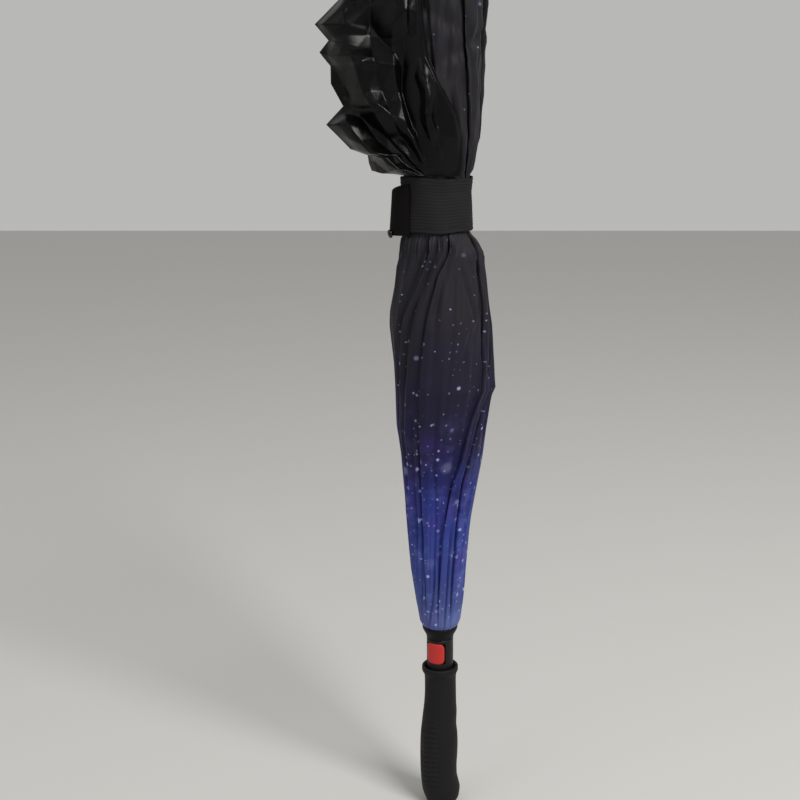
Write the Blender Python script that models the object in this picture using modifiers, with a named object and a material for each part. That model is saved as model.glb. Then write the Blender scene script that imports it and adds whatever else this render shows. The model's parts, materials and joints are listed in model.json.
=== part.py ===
"""Closed reverse-folding stick umbrella, standing on the end of its straight handle.

Metres, +Z up the shaft from the middle of the handle's end face, the push button on the -Y side.
The ribs hinge on the runner just above the handle and point up; the stretchers hang from the notch
near the top of the shaft. All the joints' places are worked out from the constants below.
"""

import math

import bpy
import numpy as np
from mathutils import Matrix, Vector

# ---------------------------------------------------------------- sizes, millimetres and degrees
MM = 0.001
GAP = 0.3                    # between pieces that touch on the real one
GORES = 8
FIRST_RIB = 22.5             # azimuth of rib 1, so that a gore faces each side
STEP = 360.0 / GORES

SHAFT_R, SHAFT_WALL = 6.0, 1.0
SHAFT_Z0, SHAFT_Z1 = 12.5, 770.0
NECK_R, NECK_Z0, NECK_Z1 = 11.0, 95.3, 150.0
SPIGOT_R, SPIGOT_Z1 = 8.5, 156.0
BUTTON_TURN = -24.0          # the button faces this far round from -Y
BUTTON_W, BUTTON_H, BUTTON_Z = 15.8, 17.2, 138.6
BUTTON_R0, BUTTON_R1 = 8.4, 11.8
COLLAR_Z0, COLLAR_Z1, COLLAR_R = 150.4, 161.0, 14.6
HUB_Z0, HUB_Z1, HUB_R = 161.3, 181.0, 11.6

PIVOT_R = 9.0                # both rings of hinges
RUNNER_PIVOT_Z, NOTCH_PIVOT_Z = 172.0, 750.0
RIB_LEAN = 1.6               # a closed rib's angle from the shaft
RIB_OPEN = 98.0              # an open rib's angle from the shaft
RIB_LENGTH, RIB_R = 612.0, 1.3
JOINT_AT = 280.0             # along the rib, where the stretcher meets it
STRETCHER_SIDE = 2.7         # the stretcher lies this far beside its rib
STRETCHER_W, STRETCHER_T = 1.8, 2.4
NOTCH_Z0, NOTCH_Z1, NOTCH_R = 738.0, 756.0, 11.6
CAP_Z1 = 795.0

ROSETTE_Z0, ROSETTE_Z1 = 161.6, 169.0
GORE_Z0, GORE_Z1 = 176.6, 752.0
HEM_START, HEM_RISE = 690.0, 29.0   # the hem is sewn higher up, to each rib's tip
CROWN_Z0, CROWN_Z1 = 560.0, 742.0
STRAP_Z0, STRAP_Z1, STRAP_T = 485.0, 526.0, 1.4

# (height, left radius, right radius) of the wrapped bundle
BUNDLE = (
    (161.5, 15.2, 15.2), (166.0, 16.8, 16.6), (210.0, 22.4, 19.5), (258.0, 26.0, 25.2),
    (306.0, 29.8, 33.0), (330.0, 33.2, 35.8), (351.0, 33.4, 38.2), (357.0, 33.5, 39.2),
    (364.0, 33.7, 41.9), (372.0, 34.0, 40.9), (381.0, 34.4, 40.3), (392.0, 35.4, 39.5),
    (412.0, 37.4, 38.8), (422.0, 37.0, 37.8), (432.0, 35.6, 36.5), (451.0, 32.8, 33.8),
    (468.0, 30.0, 32.6), (480.0, 28.4, 26.0), (484.5, 27.4, 22.9), (504.0, 27.2, 22.2),
    (515.0, 27.2, 21.4), (528.0, 28.0, 23.0), (556.0, 31.5, 28.6), (600.0, 33.0, 31.0),
    (640.0, 34.5, 33.5), (690.0, 35.0, 35.0), (730.0, 33.0, 34.0), (752.0, 30.5, 31.5),
)
# (height, left radius, right radius) of the rubber grip
GRIP = (
    (0.0, 8.8, 10.2), (0.9, 10.8, 13.0), (3.0, 11.9, 15.0), (6.4, 13.3, 16.2), (12.6, 15.1, 16.9),
    (19.0, 15.9, 15.6), (26.0, 16.4, 14.3), (34.0, 16.7, 14.2), (43.0, 16.8, 14.7),
    (53.0, 16.7, 15.0), (63.0, 16.3, 14.7), (72.4, 15.4, 13.8), (83.0, 14.2, 14.1),
    (92.6, 13.2, 13.6), (104.0, 12.7, 13.4), (112.0, 12.7, 13.3), (117.5, 13.2, 13.6),
    (119.6, 14.4, 14.4), (121.2, 15.0, 15.0), (124.2, 15.0, 15.0), (125.0, 14.4, 14.4),
)
PANEL_Z0, PANEL_Z1, PANEL_RIDGES = 20.0, 81.6, 14
PANEL_AZ0, PANEL_AZ1 = 209.0, 269.0

# ---------------------------------------------------------------- scene and materials
for old in list(bpy.data.objects):
    bpy.data.objects.remove(old)
ASSEMBLY = bpy.data.collections.new("Stick umbrella")
CUTTERS = bpy.data.collections.new("Cutters")
bpy.context.scene.collection.children.link(ASSEMBLY)
bpy.context.scene.collection.children.link(CUTTERS)


def material(name, colour, rough, metal=0.0):
    made = bpy.data.materials.new(name)
    made.use_nodes = True
    shader = made.node_tree.nodes["Principled BSDF"]
    shader.inputs["Base Color"].default_value = (*colour, 1.0)
    shader.inputs["Roughness"].default_value = rough
    shader.inputs["Metallic"].default_value = metal
    return made


RUBBER = material("Grip rubber", (0.018, 0.018, 0.02), 0.7)
BLACK_PLASTIC = material("Black plastic", (0.012, 0.012, 0.013), 0.35)
RED_PLASTIC = material("Red plastic", (0.45, 0.025, 0.02), 0.35)
STEEL = material("Steel", (0.35, 0.35, 0.36), 0.3, 1.0)
FIBREGLASS = material("Fibreglass", (0.02, 0.02, 0.022), 0.4)
PRINTED = material("Printed canopy", (0.03, 0.035, 0.12), 0.6)
LINING = material("Black canopy", (0.01, 0.01, 0.011), 0.5)


def place(name, mesh, look, origin=(0.0, 0.0, 0.0), turn=0.0, where=None):
    """An object with its origin at the given millimetres, turned about Z by degrees."""
    if look is not None:
        mesh.materials.append(look)
    made = bpy.data.objects.new(name, mesh)
    made.location = Vector(origin) * MM
    made.rotation_euler = (0.0, 0.0, math.radians(turn))
    (where or ASSEMBLY).objects.link(made)
    return made


def mesh_of(name, points, faces):
    made = bpy.data.meshes.new(name)
    made.from_pydata([tuple(c * MM for c in p) for p in points], [], faces)
    made.update()
    return made


def loops_mesh(name, loops, closed=False):
    """Skins equal loops of points in order; the ends get caps unless the last joins the first."""
    count = len(loops[0])
    points = [p for loop in loops for p in loop]
    faces = []
    pairs = len(loops) if closed else len(loops) - 1
    for row in range(pairs):
        here, there = row * count, ((row + 1) % len(loops)) * count
        for k in range(count):
            nxt = (k + 1) % count
            faces.append((here + k, here + nxt, there + nxt, there + k))
    if not closed:
        faces.append(tuple(reversed(range(count))))
        faces.append(tuple(range(len(points) - count, len(points))))
    return mesh_of(name, points, faces)


def lathe(name, profile, look, steps=32, ring=False, origin=(0.0, 0.0, 0.0)):
    """Turns (radius, height) pairs, listed down the outer side, about Z."""
    count = len(profile)
    mesh = bpy.data.meshes.new(name)
    edges = [(k, k + 1) for k in range(count - 1)]
    if ring:
        edges.append((count - 1, 0))
    points = [(r * MM, 0.0, (z - origin[2]) * MM) for r, z in profile]
    mesh.from_pydata(points, edges, [])
    made = place(name, mesh, look, origin)
    screw = made.modifiers.new("Turn", "SCREW")
    screw.axis = "Z"
    screw.steps = steps
    screw.render_steps = steps
    screw.use_merge_vertices = True
    screw.merge_threshold = 0.00001
    screw.use_smooth_shade = False
    return made


def cutter(name, low, high, turn=0.0):
    """A box between two corners, turned about Z, that only cuts."""
    x0, y0, z0 = low
    x1, y1, z1 = high
    loops = [[(x0, y0, z), (x1, y0, z), (x1, y1, z), (x0, y1, z)] for z in (z0, z1)]
    made = place(name, loops_mesh(name, loops), None, turn=turn, where=CUTTERS)
    made.hide_render = True
    made.display_type = "WIRE"
    return made


def combine(target, tool, operation):
    step = target.modifiers.new(tool.name, "BOOLEAN")
    step.operation = operation
    step.solver = "EXACT"
    step.object = tool


# ---------------------------------------------------------------- shared shapes
def table_radius(table, height, azimuth):
    """Radius from a (height, left, right) table, changing smoothly from one side to the other."""
    heights = [row[0] for row in table]
    left = np.interp(height, heights, [row[1] for row in table])
    right = np.interp(height, heights, [row[2] for row in table])
    share = (1.0 + math.cos(math.radians(azimuth))) / 2.0
    return float(left + (right - left) * share)


def polar(radius, azimuth, height):
    turn = math.radians(azimuth)
    return (radius * math.cos(turn), radius * math.sin(turn), height)


def rib_radius(height):
    """How far a closed rib's middle is from the shaft's axis."""
    return PIVOT_R + (height - RUNNER_PIVOT_Z) * math.tan(math.radians(RIB_LEAN))


# ---------------------------------------------------------------- the linkage
def rib_travel():
    """How far the runner slides, from the triangle of rib, stretcher and shaft."""
    lean, wide = math.radians(RIB_LEAN), math.radians(RIB_OPEN)
    meet_x = JOINT_AT * math.sin(lean)
    meet_z = RUNNER_PIVOT_Z + JOINT_AT * math.cos(lean)
    stretcher = math.hypot(meet_x, NOTCH_PIVOT_Z - meet_z)
    drop = math.sqrt(stretcher ** 2 - (JOINT_AT * math.sin(wide)) ** 2)
    open_z = NOTCH_PIVOT_Z - drop - JOINT_AT * math.cos(wide)
    closed_angle = math.atan2(meet_x, NOTCH_PIVOT_Z - meet_z)
    open_angle = math.atan2(JOINT_AT * math.sin(wide), drop)
    return open_z - RUNNER_PIVOT_Z, stretcher, math.degrees(open_angle - closed_angle)


TRAVEL, STRETCHER_LENGTH, STRETCHER_TURN = rib_travel()
STRETCHER_LEAN = math.degrees(
    math.asin(JOINT_AT * math.sin(math.radians(RIB_LEAN)) / STRETCHER_LENGTH)
)


def swing(pivot_z, azimuth, angle):
    """A turn about the tangential hinge at one azimuth, as a matrix in millimetres."""
    there = Matrix.Rotation(math.radians(azimuth), 4, "Z")
    pivot = Matrix.Translation((PIVOT_R, 0.0, pivot_z))
    turn = Matrix.Rotation(math.radians(angle), 4, "Y")
    return there @ pivot @ turn @ pivot.inverted() @ there.inverted()


def fold_hinge(pivot_z, azimuth, angle):
    """(point, direction, degrees) of the one turn that carries a gore's far edge, riding on the
    arm at this azimuth, to where the next arm takes it."""
    near, far = swing(pivot_z, azimuth, angle), swing(pivot_z, azimuth + STEP, angle)
    carry = near.inverted() @ far
    direction, degrees = carry.to_quaternion().axis, math.degrees(carry.to_quaternion().angle)
    if degrees > 180.0:
        degrees, direction = 360.0 - degrees, -direction
    left = np.eye(3) - np.array(carry.to_3x3())
    point = np.linalg.lstsq(left, np.array(carry.to_translation()), rcond=None)[0]
    along = (pivot_z - point[2]) / direction[2]
    return tuple(point + along * np.array(direction)), tuple(direction), degrees


# ---------------------------------------------------------------- handle
def add_grip():
    """Rubber handle with a stepped blind bore for the neck and the shaft."""
    def ring(height, shrink=0.0, fixed=None):
        spokes = 36
        made = []
        for k in range(spokes):
            azimuth = 360.0 * k / spokes
            radius = fixed or table_radius(GRIP, height, azimuth) - shrink
            made.append(polar(radius, azimuth, height))
        return made

    loops = [ring(row[0]) for row in GRIP]
    loops.append(ring(125.0, fixed=13.2))
    loops.append(ring(123.6, fixed=12.3))
    loops.append(ring(120.0, fixed=12.3))
    loops.append(ring(120.0, fixed=NECK_R + GAP))
    loops.append(ring(NECK_Z0 - GAP, fixed=NECK_R + GAP))
    loops.append(ring(NECK_Z0 - GAP, fixed=SHAFT_R + GAP))
    loops.append(ring(SHAFT_Z0 - GAP, fixed=SHAFT_R + GAP))
    made = place("grip", loops_mesh("grip", loops), RUBBER)
    pocket = panel_mesh("panel_pocket", GAP, -1.9, 4.0, False)
    tool = place("panel_pocket", pocket, None, where=CUTTERS)
    tool.hide_render = True
    tool.display_type = "WIRE"
    combine(made, tool, "DIFFERENCE")


def panel_mesh(name, grow, inner, outer, ridged):
    """A curved plate over part of the grip, between two offsets from the grip's surface."""
    low, high = PANEL_Z0 - grow, PANEL_Z1 + grow
    side = math.degrees(grow / 15.0)
    rows = PANEL_RIDGES * 4 if ridged else 14
    columns = 8
    azimuths = [
        PANEL_AZ0 - side + (PANEL_AZ1 - PANEL_AZ0 + 2 * side) * k / columns
        for k in range(columns + 1)
    ]
    loops = []
    for row in range(rows + 1):
        height = low + (high - low) * row / rows
        ridge = 0.45 * math.sin(math.pi * row / 4.0) ** 2 if ridged else 0.0
        under, over = [], []
        for azimuth in azimuths:
            surface = table_radius(GRIP, height, azimuth)
            under.append(polar(surface + inner, azimuth, height))
            over.append(polar(surface + outer + ridge, azimuth, height))
        loops.append(under[::-1] + over)
    return loops_mesh(name, loops)


def add_grip_panel():
    mesh = panel_mesh("grip_panel", 0.0, -1.5, 0.05, True)
    place("grip_panel", mesh, RUBBER)


def add_neck():
    """Black plastic tube out of the grip, with a window for the button."""
    inner = SHAFT_R + GAP
    profile = [
        (SPIGOT_R, SPIGOT_Z1), (SPIGOT_R, NECK_Z1), (NECK_R - 0.5, NECK_Z1),
        (NECK_R, NECK_Z1 - 0.5), (NECK_R, NECK_Z0), (inner, NECK_Z0), (inner, SPIGOT_Z1),
    ]
    made = lathe("neck_housing", profile, BLACK_PLASTIC, 40, ring=True)
    wide, tall = BUTTON_W / 2 + GAP, BUTTON_H / 2 + GAP
    low = (-wide, -20.0, BUTTON_Z - tall)
    window = cutter("button_window", low, (wide, 0.0, BUTTON_Z + tall), BUTTON_TURN)
    combine(made, window, "DIFFERENCE")


def button_outline(half_w, half_h, corner, steps=4):
    """A rounded rectangle about the origin, counter-clockwise from -Y's point of view."""
    points = []
    for cx, cz, start in ((1, 1, 0), (-1, 1, 90), (-1, -1, 180), (1, -1, 270)):
        for k in range(steps + 1):
            turn = math.radians(start + 90.0 * k / steps)
            x = cx * (half_w - corner) + corner * math.cos(turn)
            z = cz * (half_h - corner) + corner * math.sin(turn)
            points.append((x, z))
    return points


def add_push_button():
    """Rounded square that bends round the neck, slightly proud of it."""
    outline = button_outline(BUTTON_W / 2, BUTTON_H / 2, 3.2)
    loops = [[(x, y, z) for x, z in outline] for y in (0.0, -16.0)]
    mesh = loops_mesh("push_button", loops)
    made = place("push_button", mesh, RED_PLASTIC, (0.0, 0.0, BUTTON_Z), BUTTON_TURN)
    low, high = BUTTON_Z - 20.0, BUTTON_Z + 20.0
    r0, r1 = BUTTON_R0, BUTTON_R1
    profile = [(r1, high), (r1, low), (r0, low), (r0, high)]
    sleeve = lathe("button_sleeve", profile, None, 64, ring=True)
    CUTTERS.objects.link(sleeve)
    ASSEMBLY.objects.unlink(sleeve)
    sleeve.hide_render = True
    sleeve.display_type = "WIRE"
    combine(made, sleeve, "INTERSECT")


def add_button_spring():
    """Curved steel leaf on the shaft, behind the button."""
    loops = []
    for z in (-7.0, -4.0, 0.0, 4.0, 7.0):
        lift = 0.12 * (1.0 - (z / 7.0) ** 2)
        under, over = [], []
        for k in range(7):
            azimuth = -90.0 + (k - 3) * 9.0
            under.append(polar(SHAFT_R + 0.15, azimuth, z))
            over.append(polar(SHAFT_R + 0.45 + lift, azimuth, z))
        loops.append(under[::-1] + over)
    mesh = loops_mesh("button_spring", loops)
    place("button_spring", mesh, STEEL, (0.0, 0.0, BUTTON_Z), BUTTON_TURN)


# ---------------------------------------------------------------- shaft and its fittings
def add_shaft():
    r, wall = SHAFT_R, SHAFT_WALL
    profile = [(r, SHAFT_Z1), (r, SHAFT_Z0), (r - wall, SHAFT_Z0), (r - wall, SHAFT_Z1)]
    lathe("shaft_tube", profile, STEEL, 32, ring=True)


def add_notch():
    """Ring near the top of the shaft that the stretchers hang in."""
    inner, r = SHAFT_R + GAP, NOTCH_R
    profile = [
        (inner, NOTCH_Z1), (r - 1.0, NOTCH_Z1), (r, NOTCH_Z1 - 1.0), (r, NOTCH_Z0 + 0.6),
        (r - 0.6, NOTCH_Z0), (inner, NOTCH_Z0),
    ]
    made = lathe("top_notch", profile, BLACK_PLASTIC, 40, ring=True)
    side = STRETCHER_W / 2 + GAP
    for i in range(GORES):
        low = (PIVOT_R - 1.8, -STRETCHER_SIDE - side, NOTCH_Z0 - 2.0)
        high = (PIVOT_R + 8.0, -STRETCHER_SIDE + side, NOTCH_PIVOT_Z + 2.2)
        combine(made, cutter(f"notch_slot_{i + 1}", low, high, FIRST_RIB + STEP * i), "DIFFERENCE")


def add_top_cap():
    """Rounded plastic cap over the end of the shaft."""
    inner = SHAFT_R + GAP
    profile = [
        (0.0, CAP_Z1), (2.2, CAP_Z1 - 0.3), (4.2, CAP_Z1 - 1.4), (5.8, CAP_Z1 - 3.6),
        (6.6, CAP_Z1 - 7.0), (6.8, CAP_Z1 - 12.0), (7.6, 776.0), (10.6, 762.0), (11.0, 756.8),
        (inner, 756.8), (inner, SHAFT_Z1 + GAP), (0.0, SHAFT_Z1 + GAP),
    ]
    lathe("top_cap", profile, BLACK_PLASTIC, 32)


# ---------------------------------------------------------------- runner
def add_collar():
    """Flared skirt that docks on the neck."""
    inner = SPIGOT_R + 0.4
    profile = [
        (COLLAR_R - 0.5, COLLAR_Z1), (COLLAR_R, COLLAR_Z1 - 0.5), (COLLAR_R - 0.1, COLLAR_Z1 - 2.4),
        (COLLAR_R - 1.3, COLLAR_Z1 - 5.0), (COLLAR_R - 3.0, COLLAR_Z1 - 7.8),
        (NECK_R + 0.05, COLLAR_Z0), (inner, COLLAR_Z0), (inner, COLLAR_Z1),
    ]
    lathe("runner_collar", profile, BLACK_PLASTIC, 40, ring=True)


def add_hub():
    """Ring on the shaft that carries the ribs in eight slots."""
    inner, r = SHAFT_R + GAP, HUB_R
    profile = [
        (inner, HUB_Z1), (r - 0.5, HUB_Z1), (r, HUB_Z1 - 0.5), (r, HUB_Z0), (inner, HUB_Z0),
    ]
    made = lathe("runner_hub", profile, BLACK_PLASTIC, 40, ring=True)
    side = RIB_R + GAP + 0.1
    for i in range(GORES):
        low = (PIVOT_R - 1.9, -side, RUNNER_PIVOT_Z - 2.3)
        high = (PIVOT_R + 8.0, side, HUB_Z1 + 2.0)
        combine(made, cutter(f"hub_slot_{i + 1}", low, high, FIRST_RIB + STEP * i), "DIFFERENCE")


# ---------------------------------------------------------------- folding frame
def arm_mesh(name, lean, length, half_w, half_t, down=False):
    """A bar in the radial plane with rounded ends, its hinge at the origin."""
    sign = -1.0 if down else 1.0
    turn = math.radians(lean)
    ux, uz = math.sin(turn), sign * math.cos(turn)
    nx, nz = uz, -ux
    outline = []
    for k in range(7):
        a = math.pi * (0.5 + k / 6.0)
        outline.append((half_t * math.cos(a), half_t * math.sin(a)))
    for k in range(7):
        a = math.pi * (-0.5 + k / 6.0)
        outline.append((length + half_t * math.cos(a), half_t * math.sin(a)))
    flat = [(ux * s + nx * t, uz * s + nz * t) for s, t in outline]
    near = [(x, -half_w, z) for x, z in flat]
    far = [(x, half_w, z) for x, z in flat]
    return loops_mesh(name, [near, far])


def add_ribs():
    for i in range(GORES):
        azimuth = FIRST_RIB + STEP * i
        name = f"rib_{i + 1}"
        mesh = arm_mesh(name, RIB_LEAN, RIB_LENGTH, RIB_R, RIB_R)
        place(name, mesh, FIBREGLASS, polar(PIVOT_R, azimuth, RUNNER_PIVOT_Z), azimuth)


def add_rib_tips():
    """Small plastic end on each rib."""
    lean = math.radians(RIB_LEAN)
    start = RIB_LENGTH + RIB_R + GAP
    for i in range(GORES):
        azimuth = FIRST_RIB + STEP * i
        name = f"rib_tip_{i + 1}"
        loops = []
        for along, radius in ((0.0, 1.3), (0.8, 2.0), (4.5, 2.1), (6.3, 1.5), (7.2, 0.6)):
            loop = []
            for k in range(10):
                a = 2.0 * math.pi * k / 10
                out, side = radius * math.cos(a), radius * math.sin(a)
                s = start + along
                loop.append((math.sin(lean) * s + math.cos(lean) * out, side,
                             math.cos(lean) * s - math.sin(lean) * out))
            loops.append(loop)
        mesh = loops_mesh(name, loops)
        place(name, mesh, BLACK_PLASTIC, polar(PIVOT_R, azimuth, RUNNER_PIVOT_Z), azimuth)


def add_stretchers():
    for i in range(GORES):
        azimuth = FIRST_RIB + STEP * i
        name = f"stretcher_{i + 1}"
        mesh = arm_mesh(name, STRETCHER_LEAN, STRETCHER_LENGTH, STRETCHER_W / 2,
                        STRETCHER_T / 2, down=True)
        turn = math.radians(azimuth)
        x, y, z = polar(PIVOT_R, azimuth, NOTCH_PIVOT_Z)
        x += STRETCHER_SIDE * math.sin(turn)
        y -= STRETCHER_SIDE * math.cos(turn)
        place(name, mesh, STEEL, (x, y, z), azimuth)


# ---------------------------------------------------------------- canopy
def sector_mesh(name, origin, azimuth0, azimuth1, heights, inner, outer, hem_rise=0.0):
    """A wedge of the bundle between two azimuths, from the inner to the outer radius. Its hem
    rises to the rib at each side."""
    loops = []
    for height in heights:
        loop = []
        rise = hem_rise * max(0.0, (height - HEM_START) / (GORE_Z1 - HEM_START))
        for k in range(7):
            azimuth = azimuth0 + (azimuth1 - azimuth0) * k / 6
            top = height + rise * abs(k / 3.0 - 1.0) ** 1.5
            loop.append(polar(outer(height, azimuth), azimuth, top))
        for k in range(3, -1, -1):
            azimuth = azimuth0 + (azimuth1 - azimuth0) * k / 3
            top = height + rise * abs(k / 1.5 - 1.0) ** 1.5
            loop.append(polar(inner(height, azimuth), azimuth, top))
        loops.append([tuple(a - b for a, b in zip(p, origin)) for p in loop])
    return loops_mesh(name, loops)


def gore_inner(height, azimuth):
    return max(HUB_R + 0.6, rib_radius(height) + RIB_R + 0.9)


def gore_outer(height, azimuth):
    """The bundle's surface, with the soft valley where two gores meet."""
    phase = (azimuth - FIRST_RIB) / STEP
    off = abs(phase - round(phase)) * 2.0
    dip = min(1.0, (height - ROSETTE_Z0) / 120.0) * 1.6 * (1.0 - off) ** 2
    return table_radius(BUNDLE, height, azimuth) - dip


def add_rosette():
    """Gathered cloth round the hub, under the ribs."""
    inner = HUB_R + 0.4
    low, high = table_radius(BUNDLE, ROSETTE_Z0, 90.0), table_radius(BUNDLE, ROSETTE_Z1, 90.0)
    profile = [
        (high - 0.6, ROSETTE_Z1), (high, ROSETTE_Z1 - 0.6), (low, ROSETTE_Z0), (inner, ROSETTE_Z0),
        (inner, ROSETTE_Z1),
    ]
    lathe("hub_rosette", profile, PRINTED, 32, ring=True)


def add_gores():
    heights = [GORE_Z0] + [row[0] for row in BUNDLE if row[0] > GORE_Z0 + 5.0]
    for i in range(GORES):
        azimuth = FIRST_RIB + STEP * i
        name = f"gore_{i + 1}"
        origin = fold_hinge(RUNNER_PIVOT_Z, azimuth, RIB_OPEN - RIB_LEAN)[0]
        mesh = sector_mesh(name, origin, azimuth + 1.2, azimuth + STEP - 1.2, heights,
                           gore_inner, gore_outer, HEM_RISE)
        place(name, mesh, PRINTED, origin)


def crown_inner(height, azimuth):
    lean = math.tan(math.radians(STRETCHER_LEAN))
    return max(NOTCH_R + 0.6, PIVOT_R + (NOTCH_PIVOT_Z - height) * lean + STRETCHER_T / 2 + 1.0)


def crown_outer(height, azimuth):
    return rib_radius(height) - RIB_R - 0.8


def add_crown_gores():
    """Black upper layer between the notch and the ribs, folded inside the bundle."""
    heights = [CROWN_Z0 + (CROWN_Z1 - CROWN_Z0) * k / 5 for k in range(6)]
    for i in range(GORES):
        azimuth = FIRST_RIB + STEP * i
        name = f"crown_gore_{i + 1}"
        origin = fold_hinge(NOTCH_PIVOT_Z, azimuth, -STRETCHER_TURN)[0]
        mesh = sector_mesh(name, origin, azimuth + 6.0, azimuth + STEP - 6.0, heights,
                           crown_inner, crown_outer)
        place(name, mesh, LINING, origin)


# ---------------------------------------------------------------- strap and loose rim
LEFT_GORE = 4                # the gore that faces -X, which the strap is sewn to


def left_origin():
    azimuth = FIRST_RIB + STEP * (LEFT_GORE - 1)
    return fold_hinge(RUNNER_PIVOT_Z, azimuth, RIB_OPEN - RIB_LEAN)[0]


def add_strap():
    """Wide band round the bundle."""
    origin = left_origin()
    spokes = 40
    loops = []
    for height, out in ((STRAP_Z0, 0), (STRAP_Z0, 1), (STRAP_Z1, 1), (STRAP_Z1, 0)):
        loop = []
        for k in range(spokes):
            azimuth = 360.0 * k / spokes
            radius = table_radius(BUNDLE, 504.0, azimuth) + 1.3 + out * STRAP_T
            point = polar(radius, azimuth, height)
            loop.append(tuple(a - b for a, b in zip(point, origin)))
        loops.append(loop)
    mesh = loops_mesh("strap_band", loops, closed=True)
    place("strap_band", mesh, LINING, origin)


def add_strap_tail():
    """The strap's free end, standing off the band at the left."""
    origin = left_origin()
    low, high = STRAP_Z0 - 1.0, STRAP_Z1 - 4.0
    path = ((-25.5, -20.0), (-28.8, -17.5), (-32.0, -14.0), (-34.8, -10.5), (-36.6, -7.6),
            (-37.6, -5.4))
    loops = []
    for k, (x, y) in enumerate(path):
        a, b = path[max(k - 1, 0)], path[min(k + 1, len(path) - 1)]
        dx, dy = b[0] - a[0], b[1] - a[1]
        size = math.hypot(dx, dy)
        nx, ny = -dy / size * 0.8, dx / size * 0.8
        drop = 2.5 * (k / 5.0) ** 2
        corners = ((x - nx, y - ny, low), (x + nx, y + ny, low),
                   (x + nx, y + ny, high - drop), (x - nx, y - ny, high - drop))
        loops.append([tuple(p - q for p, q in zip(c, origin)) for c in corners])
    mesh = loops_mesh("strap_tail", loops)
    place("strap_tail", mesh, LINING, origin)


def add_strap_stud():
    """Press stud near the lower corner of the strap's free end."""
    origin = left_origin()
    centre = Vector((-37.9, -9.3, STRAP_Z0 + 0.5))
    out = Vector((-0.83, -0.55, 0.0)).normalized()
    side = Vector((-out.y, out.x, 0.0))
    up = Vector((0.0, 0.0, 1.0))
    loops = []
    for depth, radius in ((0.0, 3.0), (0.9, 3.0), (1.5, 2.4), (1.7, 1.2)):
        loop = []
        for k in range(16):
            a = 2.0 * math.pi * k / 16
            p = centre + out * depth + side * (radius * math.cos(a)) + up * (radius * math.sin(a))
            loop.append(tuple(p - Vector(origin)))
        loops.append(loop)
    place("strap_stud", loops_mesh("strap_stud", loops), STEEL, origin)


# (height, farthest left, half depth) of the rim that has flopped over
FLOP = (
    (530.0, 47.0, 9.0), (537.0, 54.0, 14.0), (547.0, 68.0, 19.0), (560.0, 80.0, 23.0),
    (580.0, 80.0, 25.0), (600.0, 85.0, 26.0), (620.0, 88.0, 26.0), (640.0, 90.0, 25.0),
    (660.0, 76.0, 23.0), (680.0, 62.0, 20.0), (700.0, 48.0, 15.0),
)


def add_rim_flop():
    """Loose rim of the canopy that has fallen over at the left."""
    origin = left_origin()
    loops = []
    for height, reach, half in FLOP:
        near = table_radius(BUNDLE, height, 180.0) + 1.0
        loop = []
        for k in range(7):
            y = half * (1.0 - k / 3.0)
            x = -near - max(reach - near, 2.0) * (1.0 - 0.75 * abs(1.0 - k / 3.0) ** 2.2)
            loop.append((x, y, height))
        for k in range(6, -1, -1):
            y = half * 0.96 * (1.0 - k / 3.0)
            loop.append((-near, y, height))
        loops.append([tuple(p - q for p, q in zip(c, origin)) for c in loop])
    mesh = loops_mesh("rim_flop", loops)
    place("rim_flop", mesh, LINING, origin)


# ---------------------------------------------------------------- build
add_grip()
add_grip_panel()
add_neck()
add_push_button()
add_button_spring()
add_shaft()
add_notch()
add_top_cap()
add_collar()
add_hub()
add_ribs()
add_rib_tips()
add_stretchers()
add_rosette()
add_gores()
add_crown_gores()
add_strap()
add_strap_tail()
add_strap_stud()
add_rim_flop()
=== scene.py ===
"""Closed reverse-folding stick umbrella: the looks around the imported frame. Metres, +Z up."""

import json
import math

import bpy
import numpy as np
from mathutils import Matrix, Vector


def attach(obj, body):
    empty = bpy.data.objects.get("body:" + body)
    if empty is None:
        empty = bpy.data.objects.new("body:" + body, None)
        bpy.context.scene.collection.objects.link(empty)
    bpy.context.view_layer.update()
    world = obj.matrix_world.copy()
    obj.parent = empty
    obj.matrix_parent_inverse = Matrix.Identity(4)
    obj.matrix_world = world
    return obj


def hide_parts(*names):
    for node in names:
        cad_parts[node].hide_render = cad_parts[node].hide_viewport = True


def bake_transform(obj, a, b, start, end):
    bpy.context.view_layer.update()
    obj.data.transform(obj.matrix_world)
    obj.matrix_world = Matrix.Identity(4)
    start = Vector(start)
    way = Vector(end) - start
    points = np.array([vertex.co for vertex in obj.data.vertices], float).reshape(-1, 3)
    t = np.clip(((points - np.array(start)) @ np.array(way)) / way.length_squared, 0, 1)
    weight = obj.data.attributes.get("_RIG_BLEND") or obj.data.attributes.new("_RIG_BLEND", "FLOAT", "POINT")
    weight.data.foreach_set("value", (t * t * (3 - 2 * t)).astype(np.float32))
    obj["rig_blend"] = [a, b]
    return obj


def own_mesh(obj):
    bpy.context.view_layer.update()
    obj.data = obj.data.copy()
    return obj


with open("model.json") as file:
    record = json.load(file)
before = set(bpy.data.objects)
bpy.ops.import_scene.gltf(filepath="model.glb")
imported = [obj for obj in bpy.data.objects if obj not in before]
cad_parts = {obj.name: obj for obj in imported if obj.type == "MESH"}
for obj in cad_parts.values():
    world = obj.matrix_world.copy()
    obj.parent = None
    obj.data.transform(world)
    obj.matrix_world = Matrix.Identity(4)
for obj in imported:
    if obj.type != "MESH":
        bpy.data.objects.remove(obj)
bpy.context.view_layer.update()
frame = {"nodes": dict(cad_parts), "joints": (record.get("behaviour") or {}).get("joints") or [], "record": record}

GORES = 8
FIRST = 22.5
STEP = 45.0
PIVOT_R = 0.009
RUNNER_Z = 0.172
NOTCH_Z = 0.750
RIB = 0.612
RIB_JOINT = 0.280            # along the rib, where its stretcher meets it
STRETCHER = 0.2982117
OPEN_ARM = math.radians(98.0)
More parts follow.
